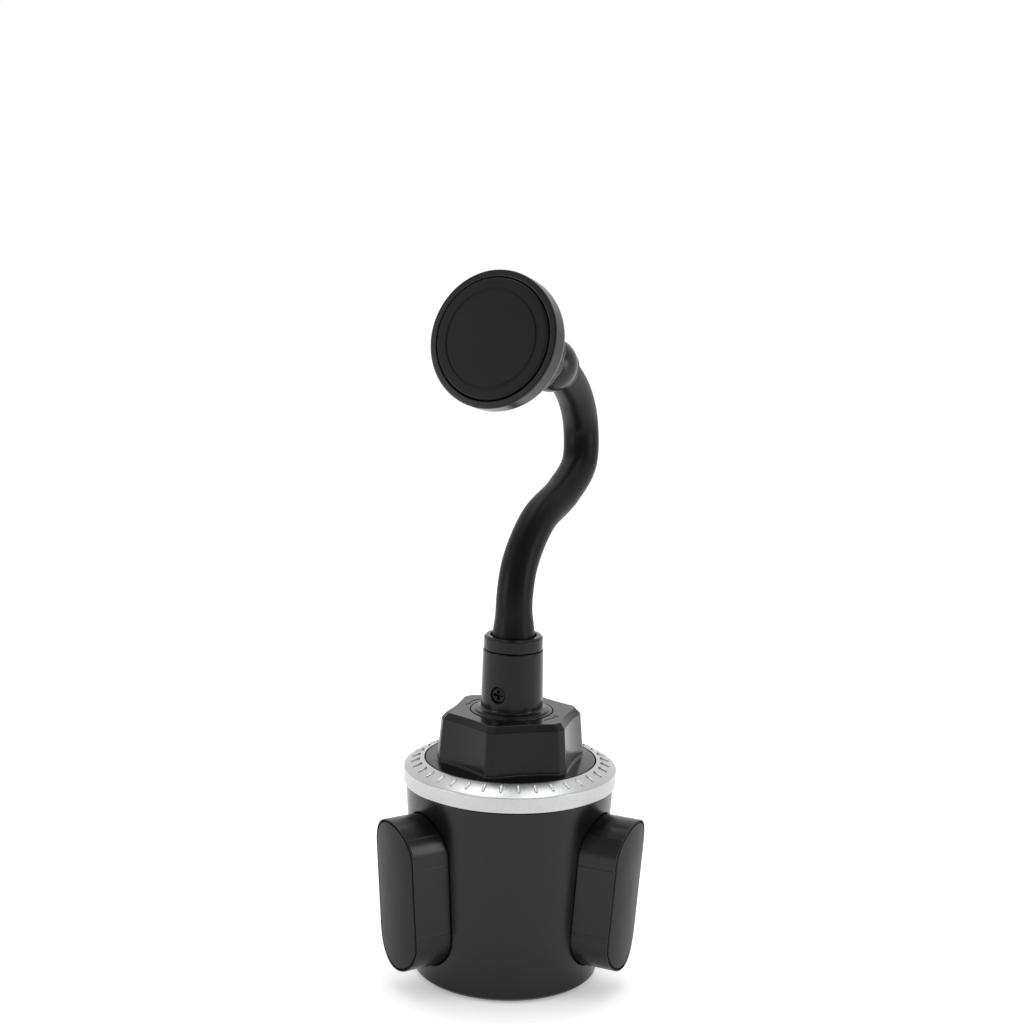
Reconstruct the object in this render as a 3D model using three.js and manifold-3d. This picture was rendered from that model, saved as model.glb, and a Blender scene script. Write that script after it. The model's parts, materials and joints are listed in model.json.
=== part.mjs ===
// Cup-holder phone mount. An expanding base holds three wings that slide out on the scroll of a hex
// knob; a bendable neck rises from it and carries a magnetic head on a ball joint.
// Millimetres, +Z up. The origin is the middle of the base's underside, on the knob's axis.
import * as THREE from 'three';
import { mergeVertices } from 'three/addons/utils/BufferGeometryUtils.js';
import { ConvexGeometry } from 'three/addons/geometries/ConvexGeometry.js';
import Module from 'manifold-3d';

const wasm = await Module();
wasm.setup();

// ---------- driving dimensions ----------
const GAP = 0.3; // between pieces that rest on each other
const DEG = Math.PI / 180;

const PAD_THICK = 1.3; // rubber foot
const PAD_R = 24.5;

const SHELL_FOOT_R = 29.8; // outer radius of the tapered shell at z = 0
const SHELL_TOP_R = 33.6;
const SHELL_TOP_Z = 64.0;
const SHELL_RIM_Z = 0.6; // lower edge
const SHELL_WALL = 2.4;
const SHELL_CHAMFER = 0.9; // around the lower edge
const SHELL_MOUTH_R = 26.9; // inside the lower edge, over the floor
const SHELL_MOUTH_Z = 5.2;
const SHELL_SHOULDER_R = 28.8; // inside, where the wall turns into the deck
const SHELL_SHOULDER_Z = 61.8;
const DECK_UNDER_Z = 64.2;
const DECK_TOP_Z = 66.6;
const DECK_R = 31.0;
const DECK_BORE_R = 12.0;

const FLOOR_R = 26.5;
const FLOOR_UNDER_Z = PAD_THICK + GAP;
const FLOOR_TOP_Z = 4.9;
const HUB_R = 7.6; // the floor's middle boss
const HUB_TOP_Z = 12.0;
const HUB_SEAT_Z = 6.5;
const FLOOR_SCREW_PITCH_R = 22.8;
const FLOOR_SCREW_ANGLES = [34, 154, 274];
const FLOOR_SCREW_HOLE_R = 1.3;
const FLOOR_SCREW_R = 1.0;
const FLOOR_SCREW_HEAD_R = 2.5;
const FLOOR_SCREW_HEAD_Z = [1.9, 3.4];
const FLOOR_SCREW_TIP_Z = 12.6;
const FLOOR_BOSS_R = 3.2;
const FLOOR_BOSS_TOP_Z = 16;
const FLOOR_BOSS_REACH = 27.9; // radius at which its web meets the wall
const GUIDE_RIB_R = [9.5, 22.3]; // ribs that guide the wings, from one radius to another
const GUIDE_RIB_THICK = 1.7;
const GUIDE_RIB_TOP_Z = 40;

const POST_R = 5.0;
const POST_BORE_R = 2.6;
const POST_TOP_Z = 83.5;
const BOLT_R = 2.1;
const BOLT_HEAD_R = 4.2;
const BOLT_HEAD_Z = [1.9, 4.0];

const BASE_TURN = 4; // degrees, from the direction in which the neck leans back
const WING_ANGLES = [90, 210, 330].map((angle) => angle + BASE_TURN);
const WING_HALF_WIDTH = 11.5;
const WING_HALF_FLAT = 13.7; // half height of the straight sides
const WING_MID_Z = 32.9;
const WING_INNER_R = 17.2;
const WING_OUTER_R = 43.55; // of the gripping face, at mid height
const WING_DRAFT = 4.0 * DEG; // the gripping face is a cone that narrows towards the bottom
const PAD_DEPTH = 2.0; // wing pad, let into the end of its block
const PAD_INSET = 0.9;
const WING_WALL = 2.2;
const WING_WEB = 4.4;
const WINDOW_CLEARANCE = 0.4;
const PEG_R = 1.5; // pegs on the back of a wing pad
const PEG_LENGTH = 4.4;
const PEG_SHARE = 0.7; // of the wing's straight half height

const PIN_R = 1.5; // follower pin
const PIN_REST_R = 20.0; // its distance from the axis at rest
const PIN_TOP_Z = 63.1;
const PIN_BOTTOM_Z = 48.0;
const SCROLL_PITCH = 20.0; // wing travel for one turn of the knob
const TRAVEL_OUT = 5.5;
const TRAVEL_IN = 8.5;
const SLOT_HALF_WIDTH = 1.9;
const SCROLL_R = 28.2;
const SCROLL_UNDER_Z = 60.6;
const SCROLL_TOP_Z = 63.6;
const SCROLL_SCREW_PITCH_R = 8.2;
const SCROLL_SCREW_R = 0.9;
const SCROLL_SCREW_HEAD_R = 1.8;
const SCROLL_SCREW_HOLE_R = 1.2;
const SCROLL_SCREW_TIP_Z = 70.8;

const RING_R = 34.4; // graduated ring
const RING_INNER_R = 27.9;
const RING_UNDER_Z = 64.3;
const RING_SHOULDER_Z = 69.5;
const RING_SLOPE = 22 * DEG; // of its top face
const TICK_COUNT = 36;
const TICK_LENGTH = 3.6;
const TICK_WIDTH = 0.9;
const TICK_PROUD = 0.45;

const KNOB_BORE_R = 5.6;
const KNOB_HUB_R = 11.6;
const KNOB_SKIRT_R = 27.5;
const KNOB_SKIRT_TOP_Z = 71.9; // at its edge
const KNOB_SKIRT_SLOPE = 4 * DEG;
const KNOB_SKIRT_UNDER_Z = 67.8;
const KNOB_CORE_R = 16; // solid middle, inside the hexagon
const KNOB_POCKET_R = [12.6, 17.4]; // ring-shaped pocket that keeps the walls even
const KNOB_POCKET_TOP_Z = 81;
const HEX_R = 24.2; // across the corners, halved, at its foot
const HEX_TOP_R = 22.9;
const HEX_TOP_Z = 88.0;
const HEX_CHAMFER = 1.9;
const HEX_CORNER_FLAT = 1.4; // half width of the flat on each corner
const HEX_TURN = 14; // degrees
const FLANGE_R = 13.2;

const SLEEVE_FOOT_R = 10.0;
const SLEEVE_TOP_R = 9.7;
const SLEEVE_TOP_Z = 108.2;
const SLEEVE_BORE_R = 6.9;
const SLEEVE_BORE_Z = 92.2;
const SLEEVE_WEB_Z = 90.5; // roof of the bolt hole
const FLANGE_UNDER_Z = 84.1;
const FLANGE_TOP_Z = 88.2;
const SET_SCREW_Z = 94.8;
const SET_SCREW_ANGLE = -118;
const SET_SCREW_R = 2.3;
const SET_SCREW_LENGTH = 2.3;
const SET_SCREW_CROSS = [1.5, 0.35, 0.9]; // half length, half width and depth of its cross slot
const CAP_RING_R = 9.5;
const CAP_RING_TOP_Z = 112.9;

const NECK_R = 5.9;
const NECK_ROOT_R = 7.1;
const NECK_BORE_R = 3.5;
const CORE_R = 3.1;
const NECK_START_Z = SLEEVE_TOP_Z + GAP;
const NECK_JOINT_GAP = 4; // open length of neck at each bend
const NECK_JOINTS = [0.15, 0.37, 0.59, 0.81]; // shares of the neck's length
const NECK_SIDES = 12; // even, as a full circle is cut into twice its curve segments
const CORE_SIDES = 6;

const KNUCKLE = new THREE.Vector3(9.5, 12, 198.7); // middle of the rounded knuckle that ends the neck
const HEAD_AXIS = new THREE.Vector3(-0.45, -0.85, 0.27).normalize(); // out of the gripping face
const KNUCKLE_R = 8.8;
const KNUCKLE_BACK = 7.2; // from its middle to its rim
const NECK_END_GAP = 1.2; // between the neck's end and the knuckle's rim
const ROUTE_STOP = 2; // the neck's middle line ends this far short of the knuckle's middle
const STUD_R = 3.3;
const BALL_R = 7.5;
const BALL_AT = 20; // from the knuckle's middle, along the head's axis
const SEAT_R = 9.2;
const CUP_R = SEAT_R + GAP;
const MOUTH_ANGLE = 56 * DEG; // half angle of the ball's opening
const NUT_R = 12.8;
const NUT_THREAD_R = 11.2;
const NUT_RIBS = 12;
const GROOVE_R = 0.9; // of the finger grooves between the nut's ribs
const NUT_BACK = -6.6; // from the ball's middle
const NUT_FRONT = 5.6;
const BOSS_R = 10.8;
const HEAD_R = 21.5;
const HEAD_BACK = 9.4; // from the ball's middle
const HEAD_RIM = 20.8;
const HEAD_POCKET_R = 19.2;
const HEAD_POCKET = 12.2;
const YOKE_R = 16.8;
const YOKE_THICK = 1.2;
const TRAY_R = 18.6;
const TRAY_THICK = 3.4;
const MAGNET_COUNT = 6;
const MAGNET_R = 4.2;
const MAGNET_RING_R = 12.2;
const PLATE_THICK = 1.4;
const FACE_THICK = 2.0;
const FACE_R = 18.8;

// ---------- materials ----------
const paint = (color, roughness, metalness = 0) =>
  new THREE.MeshStandardMaterial({ color, roughness, metalness });
const blackPlastic = paint(0x1b1b1c, 0.45);
const softRubber = paint(0x202021, 0.62);
const silverPlate = paint(0xc9cacb, 0.34, 0.85);
const steel = paint(0x9a9da0, 0.3, 1);
const blackSteel = paint(0x2a2b2c, 0.35, 0.9);
const acetal = paint(0xd8d6cf, 0.5);

// ---------- geometry helpers ----------
// Welds shared corners, drops empty triangles and turns the faces outwards.
function closed(geometry) {
  const bare = geometry.clone();
  bare.deleteAttribute('normal');
  bare.deleteAttribute('uv');
  const welded = mergeVertices(bare, 1e-4);
  const at = welded.getAttribute('position');
  const source = welded.getIndex().array;
  const corner = [new THREE.Vector3(), new THREE.Vector3(), new THREE.Vector3()];
  const index = [];
  let volume = 0;
  for (let i = 0; i < source.length; i += 3) {
    const [a, b, c] = [source[i], source[i + 1], source[i + 2]];
    if (a === b || b === c || c === a) continue;
    index.push(a, b, c);
    [a, b, c].forEach((vertex, k) => corner[k].fromBufferAttribute(at, vertex));
    volume += corner[0].dot(corner[1].cross(corner[2]));
  }
  if (volume < 0) index.reverse();
  welded.setIndex(index);
  return welded;
}

function toSolid(geometry) {
  const mesh = closed(geometry);
  const vertProperties = new Float32Array(mesh.getAttribute('position').array);
  const triVerts = new Uint32Array(mesh.getIndex().array);
  return new wasm.Manifold(new wasm.Mesh({ numProp: 3, vertProperties, triVerts }));
}

function fromSolid(solid) {
  const mesh = solid.getMesh();
  const geometry = new THREE.BufferGeometry();
  geometry.setAttribute('position', new THREE.BufferAttribute(mesh.vertProperties, 3));
  geometry.setIndex(new THREE.BufferAttribute(mesh.triVerts, 1));
  return geometry;
}

const join = (...parts) => fromSolid(parts.map(toSolid).reduce((a, b) => a.add(b)));
const cut = (body, ...tools) => fromSolid(tools.map(toSolid).reduce((a, b) => a.subtract(b), toSolid(body)));
const common = (a, b) => fromSolid(toSolid(a).intersect(toSolid(b)));

// Turns a profile of [radius, height] points about Z.
function lathe(profile, sides = 32) {
  const points = profile.map(([r, z]) => new THREE.Vector2(r, z));
  return new THREE.LatheGeometry(points, sides).rotateX(Math.PI / 2);
}

// A closed ring profile ends where it starts.
const ring = (profile, sides) => lathe([...profile, profile[0]], sides);

const rod = (r, z0, z1, sides = 24) => lathe([[0, z0], [r, z0], [r, z1], [0, z1]], sides);

// A box from its lowest to its highest corner.
function block([x0, y0, z0], [x1, y1, z1]) {
  const box = new THREE.BoxGeometry(x1 - x0, y1 - y0, z1 - z0);
  return box.translate((x0 + x1) / 2, (y0 + y1) / 2, (z0 + z1) / 2);
}

// Points of an arc about (0, z), from one angle to another, measured from the +Z axis.
function arc(radius, from, to, steps, z = 0) {
  return Array.from({ length: steps + 1 }, (_, i) => {
    const angle = from + ((to - from) * i) / steps;
    return [radius * Math.sin(angle), z + radius * Math.cos(angle)];
  });
}

const polar = (r, degrees) => [r * Math.cos(degrees * DEG), r * Math.sin(degrees * DEG)];
const shellR = (z) => SHELL_FOOT_R + ((SHELL_TOP_R - SHELL_FOOT_R) * z) / SHELL_TOP_Z;
const ringTopZ = (r) => RING_SHOULDER_Z + (RING_R - 0.4 - r) * Math.tan(RING_SLOPE);
const skirtZ = (r) => KNOB_SKIRT_TOP_Z + (KNOB_SKIRT_R - r) * Math.tan(KNOB_SKIRT_SLOPE);

const mount = new THREE.Group();

function add(name, geometry, material, parent = mount) {
  const mesh = new THREE.Mesh(closed(geometry), material);
  mesh.name = name;
  parent.add(mesh);
  return mesh;
}

// ---------- wings ----------
// Section of a wing, grown by a clearance: straight sides, half-round top and bottom.
function wingSection(grow = 0) {
  const shape = new THREE.Shape();
  const w = WING_HALF_WIDTH + grow;
  shape.moveTo(w, -WING_HALF_FLAT);
  shape.lineTo(w, WING_HALF_FLAT);
  shape.absarc(0, WING_HALF_FLAT, w, 0, Math.PI, false);
  shape.lineTo(-w, -WING_HALF_FLAT);
  shape.absarc(0, -WING_HALF_FLAT, w, Math.PI, 2 * Math.PI, false);
  return shape;
}

// Extrudes a section along +X from one radius to another: its own Y becomes Z.
function outwards(shape, r0, r1) {
  const geometry = new THREE.ExtrudeGeometry(shape, {
    depth: r1 - r0, bevelEnabled: false, curveSegments: 6,
  });
  return geometry.rotateX(Math.PI / 2).rotateZ(Math.PI / 2).translate(r0, 0, WING_MID_Z);
}

// The cone of the gripping faces, or one inside it by an offset.
function gripCone(offset = 0) {
  const reach = 40;
  const lean = reach * Math.tan(WING_DRAFT);
  const r = WING_OUTER_R - offset;
  const cone = [[0, -reach], [r - lean, -reach], [r + lean, reach], [0, reach]];
  return lathe(cone, 48).translate(0, 0, WING_MID_Z);
}

// Peg that locates the pad in the end of its block.
function peg(side, r, length) {
  const pin = new THREE.CylinderGeometry(r, r, length, 10).rotateZ(Math.PI / 2);
  const middle = WING_OUTER_R - PAD_DEPTH - 1.4;
  return pin.translate(middle, 0, WING_MID_Z + side * WING_HALF_FLAT * PEG_SHARE);
}

function wingBlock() {
  const body = common(outwards(wingSection(), WING_INNER_R, 60), gripCone());
  const hollow = outwards(wingSection(-WING_WALL), WING_INNER_R - 1, WING_OUTER_R - PAD_DEPTH - 6);
  const web = block([WING_INNER_R - 2, -WING_WEB / 2, 0], [WING_OUTER_R, WING_WEB / 2, 70]);
  const seatPrism = outwards(wingSection(GAP - PAD_INSET), WING_OUTER_R - 12, 60);
  const padSeat = cut(seatPrism, gripCone(PAD_DEPTH + GAP));
  const pinHole = rod(PIN_R + GAP, PIN_BOTTOM_Z - GAP, 70, 12).translate(PIN_REST_R, 0, 0);
  const pegHoles = [-1, 1].map((side) => peg(side, PEG_R + GAP, PEG_LENGTH + 2 * GAP));
  return cut(body, cut(hollow, web), padSeat, pinHole, ...pegHoles);
}

function wingPad() {
  const plate = common(outwards(wingSection(-PAD_INSET), WING_OUTER_R - 12, 60), gripCone());
  const face = cut(plate, gripCone(PAD_DEPTH));
  return join(face, peg(-1, PEG_R, PEG_LENGTH), peg(1, PEG_R, PEG_LENGTH));
}

const wings = WING_ANGLES.map((angle, i) => {
  const wing = new THREE.Group();
  wing.rotation.z = angle * DEG;
  mount.add(wing);
  add(`wing_block_${i + 1}`, wingBlock(), blackPlastic, wing);
  add(`wing_pad_${i + 1}`, wingPad(), softRubber, wing);
  const pin = rod(PIN_R, PIN_BOTTOM_Z, PIN_TOP_Z, 12).translate(PIN_REST_R, 0, 0);
  add(`follower_pin_${i + 1}`, pin, steel, wing);
  return wing;
});

// ---------- base ----------
function floorScrewBoss(angle) {
  const [x, y] = polar(FLOOR_SCREW_PITCH_R, angle);
  const under = FLOOR_TOP_Z + GAP;
  const boss = rod(FLOOR_BOSS_R, under, FLOOR_BOSS_TOP_Z, 16).translate(x, y, 0);
  const web = block([FLOOR_SCREW_PITCH_R, -1.2, under], [FLOOR_BOSS_REACH, 1.2, FLOOR_BOSS_TOP_Z]);
  return join(boss, web.rotateZ(angle * DEG));
}

function baseShell() {
  const inner = (z) => shellR(z) - SHELL_WALL;
  const walls = ring([
    [SHELL_MOUTH_R, SHELL_RIM_Z], [shellR(0) - SHELL_CHAMFER, SHELL_RIM_Z], [shellR(2), SHELL_RIM_Z + 1],
    [SHELL_TOP_R, SHELL_TOP_Z], [DECK_R, SHELL_TOP_Z], [DECK_R, DECK_TOP_Z],
    [DECK_BORE_R, DECK_TOP_Z], [DECK_BORE_R, DECK_UNDER_Z], [SHELL_SHOULDER_R, DECK_UNDER_Z],
    [inner(SHELL_SHOULDER_Z), SHELL_SHOULDER_Z], [inner(SHELL_MOUTH_Z), SHELL_MOUTH_Z],
  ], 36);
  const windows = wings.map((wing) =>
    outwards(wingSection(WINDOW_CLEARANCE), 20, 40).rotateZ(wing.rotation.z));
  const screwHoles = FLOOR_SCREW_ANGLES.map((angle) => {
    const [x, y] = polar(FLOOR_SCREW_PITCH_R, angle);
    return rod(FLOOR_SCREW_HOLE_R, 0, FLOOR_SCREW_TIP_Z + 1.4, 12).translate(x, y, 0);
  });
  const body = join(cut(walls, ...windows), ...FLOOR_SCREW_ANGLES.map(floorScrewBoss));
  return cut(body, ...screwHoles);
}

function baseFloor() {
  const plate = ring([
    [BOLT_R + 0.4, FLOOR_UNDER_Z], [FLOOR_R, FLOOR_UNDER_Z], [FLOOR_R, FLOOR_TOP_Z],
    [HUB_R, FLOOR_TOP_Z], [HUB_R, HUB_TOP_Z], [POST_R + GAP, HUB_TOP_Z],
    [POST_R + GAP, HUB_SEAT_Z], [BOLT_R + 0.4, HUB_SEAT_Z],
  ], 36);
  const ribs = wings.flatMap((wing) => [-1, 1].map((side) => {
    const near = WING_HALF_WIDTH + WINDOW_CLEARANCE;
    const far = near + GUIDE_RIB_THICK;
    const [inner, outer] = GUIDE_RIB_R;
    const rib = block([inner, side * near, FLOOR_TOP_Z - 1], [outer, side * far, GUIDE_RIB_TOP_Z]);
    return rib.rotateZ(wing.rotation.z);
  }));
  const holes = FLOOR_SCREW_ANGLES.flatMap((angle) => {
    const [x, y] = polar(FLOOR_SCREW_PITCH_R, angle);
    const sink = rod(FLOOR_SCREW_HEAD_R + 0.4, 0, FLOOR_SCREW_HEAD_Z[1] + GAP, 16);
    return [rod(FLOOR_SCREW_HOLE_R, 0, HUB_TOP_Z, 12), sink].map((hole) => hole.translate(x, y, 0));
  });
  const boltSink = rod(BOLT_HEAD_R + 0.6, 0, BOLT_HEAD_Z[1] + GAP, 18);
  return cut(join(plate, ...ribs), ...holes, boltSink);
}

function floorScrew(x, y) {
  const [headUnder, headTop] = FLOOR_SCREW_HEAD_Z;
  const head = rod(FLOOR_SCREW_HEAD_R, headUnder, headTop, 12);
  return join(head, rod(FLOOR_SCREW_R, headTop - 0.2, FLOOR_SCREW_TIP_Z, 8)).translate(x, y, 0);
}

add('base_shell', baseShell(), blackPlastic);
add('base_floor', baseFloor(), blackPlastic);
add('foot_pad', rod(PAD_R, 0, PAD_THICK, 30), softRubber);
FLOOR_SCREW_ANGLES.forEach((angle, i) => {
  add(`floor_screw_${i + 1}`, floorScrew(...polar(FLOOR_SCREW_PITCH_R, angle)), steel);
});
add('centre_post', ring([
  [POST_BORE_R, HUB_SEAT_Z + GAP], [POST_R, HUB_SEAT_Z + GAP],
  [POST_R, POST_TOP_Z], [POST_BORE_R, POST_TOP_Z],
], 18), acetal);
add('tie_bolt', join(
  rod(BOLT_HEAD_R, BOLT_HEAD_Z[0], BOLT_HEAD_Z[1], 6),
  rod(BOLT_R, BOLT_HEAD_Z[1] - 0.2, SLEEVE_WEB_Z - 0.7, 12),
), steel);

// ---------- graduated ring ----------
function dialRing() {
  const body = ring([
    [DECK_R + GAP, RING_UNDER_Z], [RING_R, RING_UNDER_Z], [RING_R, RING_SHOULDER_Z - 0.3],
    [RING_R - 0.4, RING_SHOULDER_Z], [RING_INNER_R, ringTopZ(RING_INNER_R)],
    [RING_INNER_R, DECK_TOP_Z + GAP], [DECK_R + GAP, DECK_TOP_Z + GAP],
  ], TICK_COUNT);
  const middle = (RING_R + RING_INNER_R) / 2 - 0.2;
  const ticks = Array.from({ length: TICK_COUNT }, (_, i) => {
    const tick = block(
      [-TICK_LENGTH / 2, -TICK_WIDTH / 2, -0.6],
      [TICK_LENGTH / 2, TICK_WIDTH / 2, TICK_PROUD],
    );
    tick.rotateY(RING_SLOPE).translate(middle, 0, ringTopZ(middle));
    return tick.rotateZ(((i + 0.5) * 2 * Math.PI) / TICK_COUNT);
  });
  return join(body, ...ticks);
}

add('dial_ring', dialRing(), silverPlate);

// ---------- knob and scroll ----------
// Corners of a hexagon with a small flat on each, at one height.
function hexCorners(radius, z) {
  const lean = Math.asin(HEX_CORNER_FLAT / radius);
  return Array.from({ length: 6 }, (_, i) => HEX_TURN * DEG + (i * Math.PI) / 3).flatMap((angle) =>
    [-lean, lean].map((side) => new THREE.Vector3(
      radius * Math.cos(angle + side), radius * Math.sin(angle + side), z)));
}

function hexKnob() {
  const skirt = ring([
    [KNOB_BORE_R, SCROLL_TOP_Z + GAP], [KNOB_HUB_R, SCROLL_TOP_Z + GAP], [KNOB_HUB_R, KNOB_SKIRT_UNDER_Z],
    [KNOB_SKIRT_R, KNOB_SKIRT_UNDER_Z], [KNOB_SKIRT_R, skirtZ(KNOB_SKIRT_R)],
    [KNOB_CORE_R, skirtZ(KNOB_CORE_R)], [KNOB_CORE_R, HEX_TOP_Z - 1], [KNOB_BORE_R, HEX_TOP_Z - 1],
  ], 36);
  const hex = new ConvexGeometry([
    ...hexCorners(HEX_R, skirtZ(HEX_R) - 3),
    ...hexCorners(HEX_TOP_R, HEX_TOP_Z - HEX_CHAMFER),
    ...hexCorners(HEX_TOP_R - HEX_CHAMFER, HEX_TOP_Z),
  ]);
  const flangeSeat = rod(FLANGE_R + GAP, FLANGE_UNDER_Z - GAP, 100, 30);
  const [pocketInner, pocketOuter] = KNOB_POCKET_R;
  const pocket = ring([
    [pocketInner, SCROLL_TOP_Z], [pocketOuter, SCROLL_TOP_Z],
    [pocketOuter, KNOB_POCKET_TOP_Z], [pocketInner, KNOB_POCKET_TOP_Z],
  ], 24);
  const screwHoles = scrollScrewSpots().map(([x, y]) =>
    rod(SCROLL_SCREW_HOLE_R, SCROLL_TOP_Z, SCROLL_SCREW_TIP_Z + 0.8, 8).translate(x, y, 0));
  const bore = rod(KNOB_BORE_R, 60, 100, 24);
  return cut(join(skirt, hex), bore, flangeSeat, pocket, ...screwHoles);
}

const scrollRate = SCROLL_PITCH / (2 * Math.PI); // wing travel for each radian
const scrollScrewSpots = () => WING_ANGLES.map((angle) => {
  const slotStart = angle - (TRAVEL_IN / scrollRate) / DEG;
  return polar(SCROLL_SCREW_PITCH_R, slotStart - 60);
});

// Spiral slot whose middle line passes through a wing's pin at rest.
function scrollSlot(wingAngle) {
  const steps = 16;
  const from = -(TRAVEL_IN + 0.3) / scrollRate;
  const to = (TRAVEL_OUT + 0.3) / scrollRate;
  const station = (t) => {
    const turn = from + (to - from) * t;
    const r = PIN_REST_R + scrollRate * turn;
    const angle = wingAngle * DEG + turn;
    const outward = new THREE.Vector2(Math.cos(angle), Math.sin(angle));
    const along = outward.clone().multiplyScalar(scrollRate);
    along.add(new THREE.Vector2(-outward.y * r, outward.x * r)).normalize();
    return { middle: outward.multiplyScalar(r), normal: new THREE.Vector2(along.y, -along.x), along };
  };
  const edge = (offset, ts) => ts.map((t) => {
    const { middle, normal } = station(t);
    return middle.addScaledVector(normal, offset);
  });
  const cap = (t, sign) => [45, 90, 135].map((degrees) => {
    const { middle, normal, along } = station(t);
    middle.addScaledVector(normal, sign * SLOT_HALF_WIDTH * Math.cos(degrees * DEG));
    return middle.addScaledVector(along, sign * SLOT_HALF_WIDTH * Math.sin(degrees * DEG));
  });
  const ts = Array.from({ length: steps + 1 }, (_, i) => i / steps);
  return new THREE.Path([
    ...edge(SLOT_HALF_WIDTH, ts), ...cap(1, 1),
    ...edge(-SLOT_HALF_WIDTH, [...ts].reverse()), ...cap(0, -1),
  ]);
}

function scrollPlate() {
  const shape = new THREE.Shape();
  shape.absarc(0, 0, SCROLL_R, 0, 2 * Math.PI);
  shape.holes.push(new THREE.Path().absarc(0, 0, POST_R + 0.6, 0, 2 * Math.PI));
  WING_ANGLES.forEach((angle) => shape.holes.push(scrollSlot(angle)));
  scrollScrewSpots().forEach(([x, y]) =>
    shape.holes.push(new THREE.Path().absarc(x, y, SCROLL_SCREW_HOLE_R, 0, 2 * Math.PI)));
  const depth = SCROLL_TOP_Z - SCROLL_UNDER_Z;
  const plate = new THREE.ExtrudeGeometry(shape, { depth, bevelEnabled: false, curveSegments: 9 });
  const sinks = scrollScrewSpots().map(([x, y]) =>
    rod(SCROLL_SCREW_HEAD_R + GAP, SCROLL_UNDER_Z - 1, SCROLL_UNDER_Z + 1.5, 12).translate(x, y, 0));
  return cut(plate.translate(0, 0, SCROLL_UNDER_Z), ...sinks);
}

add('hex_knob', hexKnob(), blackPlastic);
add('scroll_plate', scrollPlate(), acetal);
scrollScrewSpots().forEach(([x, y], i) => {
  const screw = join(
    rod(SCROLL_SCREW_HEAD_R, SCROLL_UNDER_Z + 0.1, SCROLL_UNDER_Z + 1.2, 10),
    rod(SCROLL_SCREW_R, SCROLL_UNDER_Z + 1, SCROLL_SCREW_TIP_Z, 6),
  );
  add(`scroll_screw_${i + 1}`, screw.translate(x, y, 0), steel);
});

// ---------- sleeve ----------
function neckSleeve() {
  const foot = [[11.9, 0], [11.3, 0.6], [10.6, 1.3], [10.15, 2.4]].map(([r, z]) => [r, FLANGE_TOP_Z + z]);
  const body = lathe([
    [0, SLEEVE_WEB_Z], [BOLT_R + GAP, SLEEVE_WEB_Z], [BOLT_R + GAP, FLANGE_UNDER_Z],
    [FLANGE_R, FLANGE_UNDER_Z], [FLANGE_R, FLANGE_TOP_Z], ...foot, [SLEEVE_FOOT_R, FLANGE_TOP_Z + 4], [SLEEVE_TOP_R, SLEEVE_TOP_Z],
    [SLEEVE_BORE_R, SLEEVE_TOP_Z], [SLEEVE_BORE_R, SLEEVE_BORE_Z], [0, SLEEVE_BORE_Z],
  ], 24);
  const hole = new THREE.CylinderGeometry(SET_SCREW_R + GAP, SET_SCREW_R + GAP, 10, 12).rotateZ(Math.PI / 2);
  hole.translate(SLEEVE_FOOT_R, 0, SET_SCREW_Z).rotateZ(SET_SCREW_ANGLE * DEG);
  return cut(body, hole);
}

function setScrew() {
  const outer = SLEEVE_BORE_R + SET_SCREW_LENGTH;
  const screw = new THREE.CylinderGeometry(SET_SCREW_R, SET_SCREW_R, SET_SCREW_LENGTH, 16);
  screw.rotateZ(Math.PI / 2).translate(outer - SET_SCREW_LENGTH / 2, 0, 0);
  const [long, narrow, deep] = SET_SCREW_CROSS;
  const slots = [[narrow, long], [long, narrow]].map(([a, b]) =>
    block([outer - deep, -a, -b], [outer + 1, a, b]));
  return cut(screw, ...slots).translate(0, 0, SET_SCREW_Z).rotateZ(SET_SCREW_ANGLE * DEG);
}

add('neck_sleeve', neckSleeve(), blackPlastic);
add('set_screw', setScrew(), blackSteel);
add('neck_plug', ring([
  [CORE_R + 0.4, SLEEVE_BORE_Z + GAP], [SLEEVE_BORE_R - GAP, SLEEVE_BORE_Z + GAP],
  [SLEEVE_BORE_R - GAP, SLEEVE_TOP_Z - 0.4], [CORE_R + 0.4, SLEEVE_TOP_Z - 0.4],
], 18), steel);
add('neck_cap_ring', ring([
  [NECK_ROOT_R + 0.4, NECK_START_Z], [CAP_RING_R, NECK_START_Z], [CAP_RING_R, CAP_RING_TOP_Z - 0.6],
  [CAP_RING_R - 0.6, CAP_RING_TOP_Z], [NECK_ROOT_R + 0.4, CAP_RING_TOP_Z],
], 24), blackPlastic);

// ---------- neck ----------
// The middle line rises from the sleeve, sweeps back and to the right, and comes forward again
// along the head's axis into the knuckle.
const neckLine = new THREE.CatmullRomCurve3([
  new THREE.Vector3(0, 0, NECK_START_Z),
  new THREE.Vector3(0, 0, 116),
  new THREE.Vector3(0, 0.2, 125),
  new THREE.Vector3(1.6, 4, 136),
  new THREE.Vector3(7, 13.5, 148),
  new THREE.Vector3(15, 27, 155),
  new THREE.Vector3(20.6, 38, 163.5),
  new THREE.Vector3(20.8, 41, 175),
  new THREE.Vector3(18.3, 33, 186.2),
  new THREE.Vector3(13.5, 20.5, 195.2),
  KNUCKLE.clone().addScaledVector(HEAD_AXIS, -ROUTE_STOP),
], false, 'centripetal');
neckLine.arcLengthDivisions = 800;
const neckLength = neckLine.getLength();

class Stretch extends THREE.Curve {
  constructor(from, to) {
    super();
    this.from = from;
    this.to = to;
  }

  getPoint(t, target = new THREE.Vector3()) {
    return target.copy(neckLine.getPointAt(this.from + (this.to - this.from) * t));
  }
}

function tube(from, to, outerR, boreR, sides, steps) {
  const shape = new THREE.Shape().absarc(0, 0, outerR, 0, 2 * Math.PI);
  if (boreR) shape.holes.push(new THREE.Path().absarc(0, 0, boreR, 0, 2 * Math.PI));
  const extrudePath = new Stretch(from, to);
  return new THREE.ExtrudeGeometry(shape, { steps, extrudePath, curveSegments: sides / 2 });
}

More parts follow.
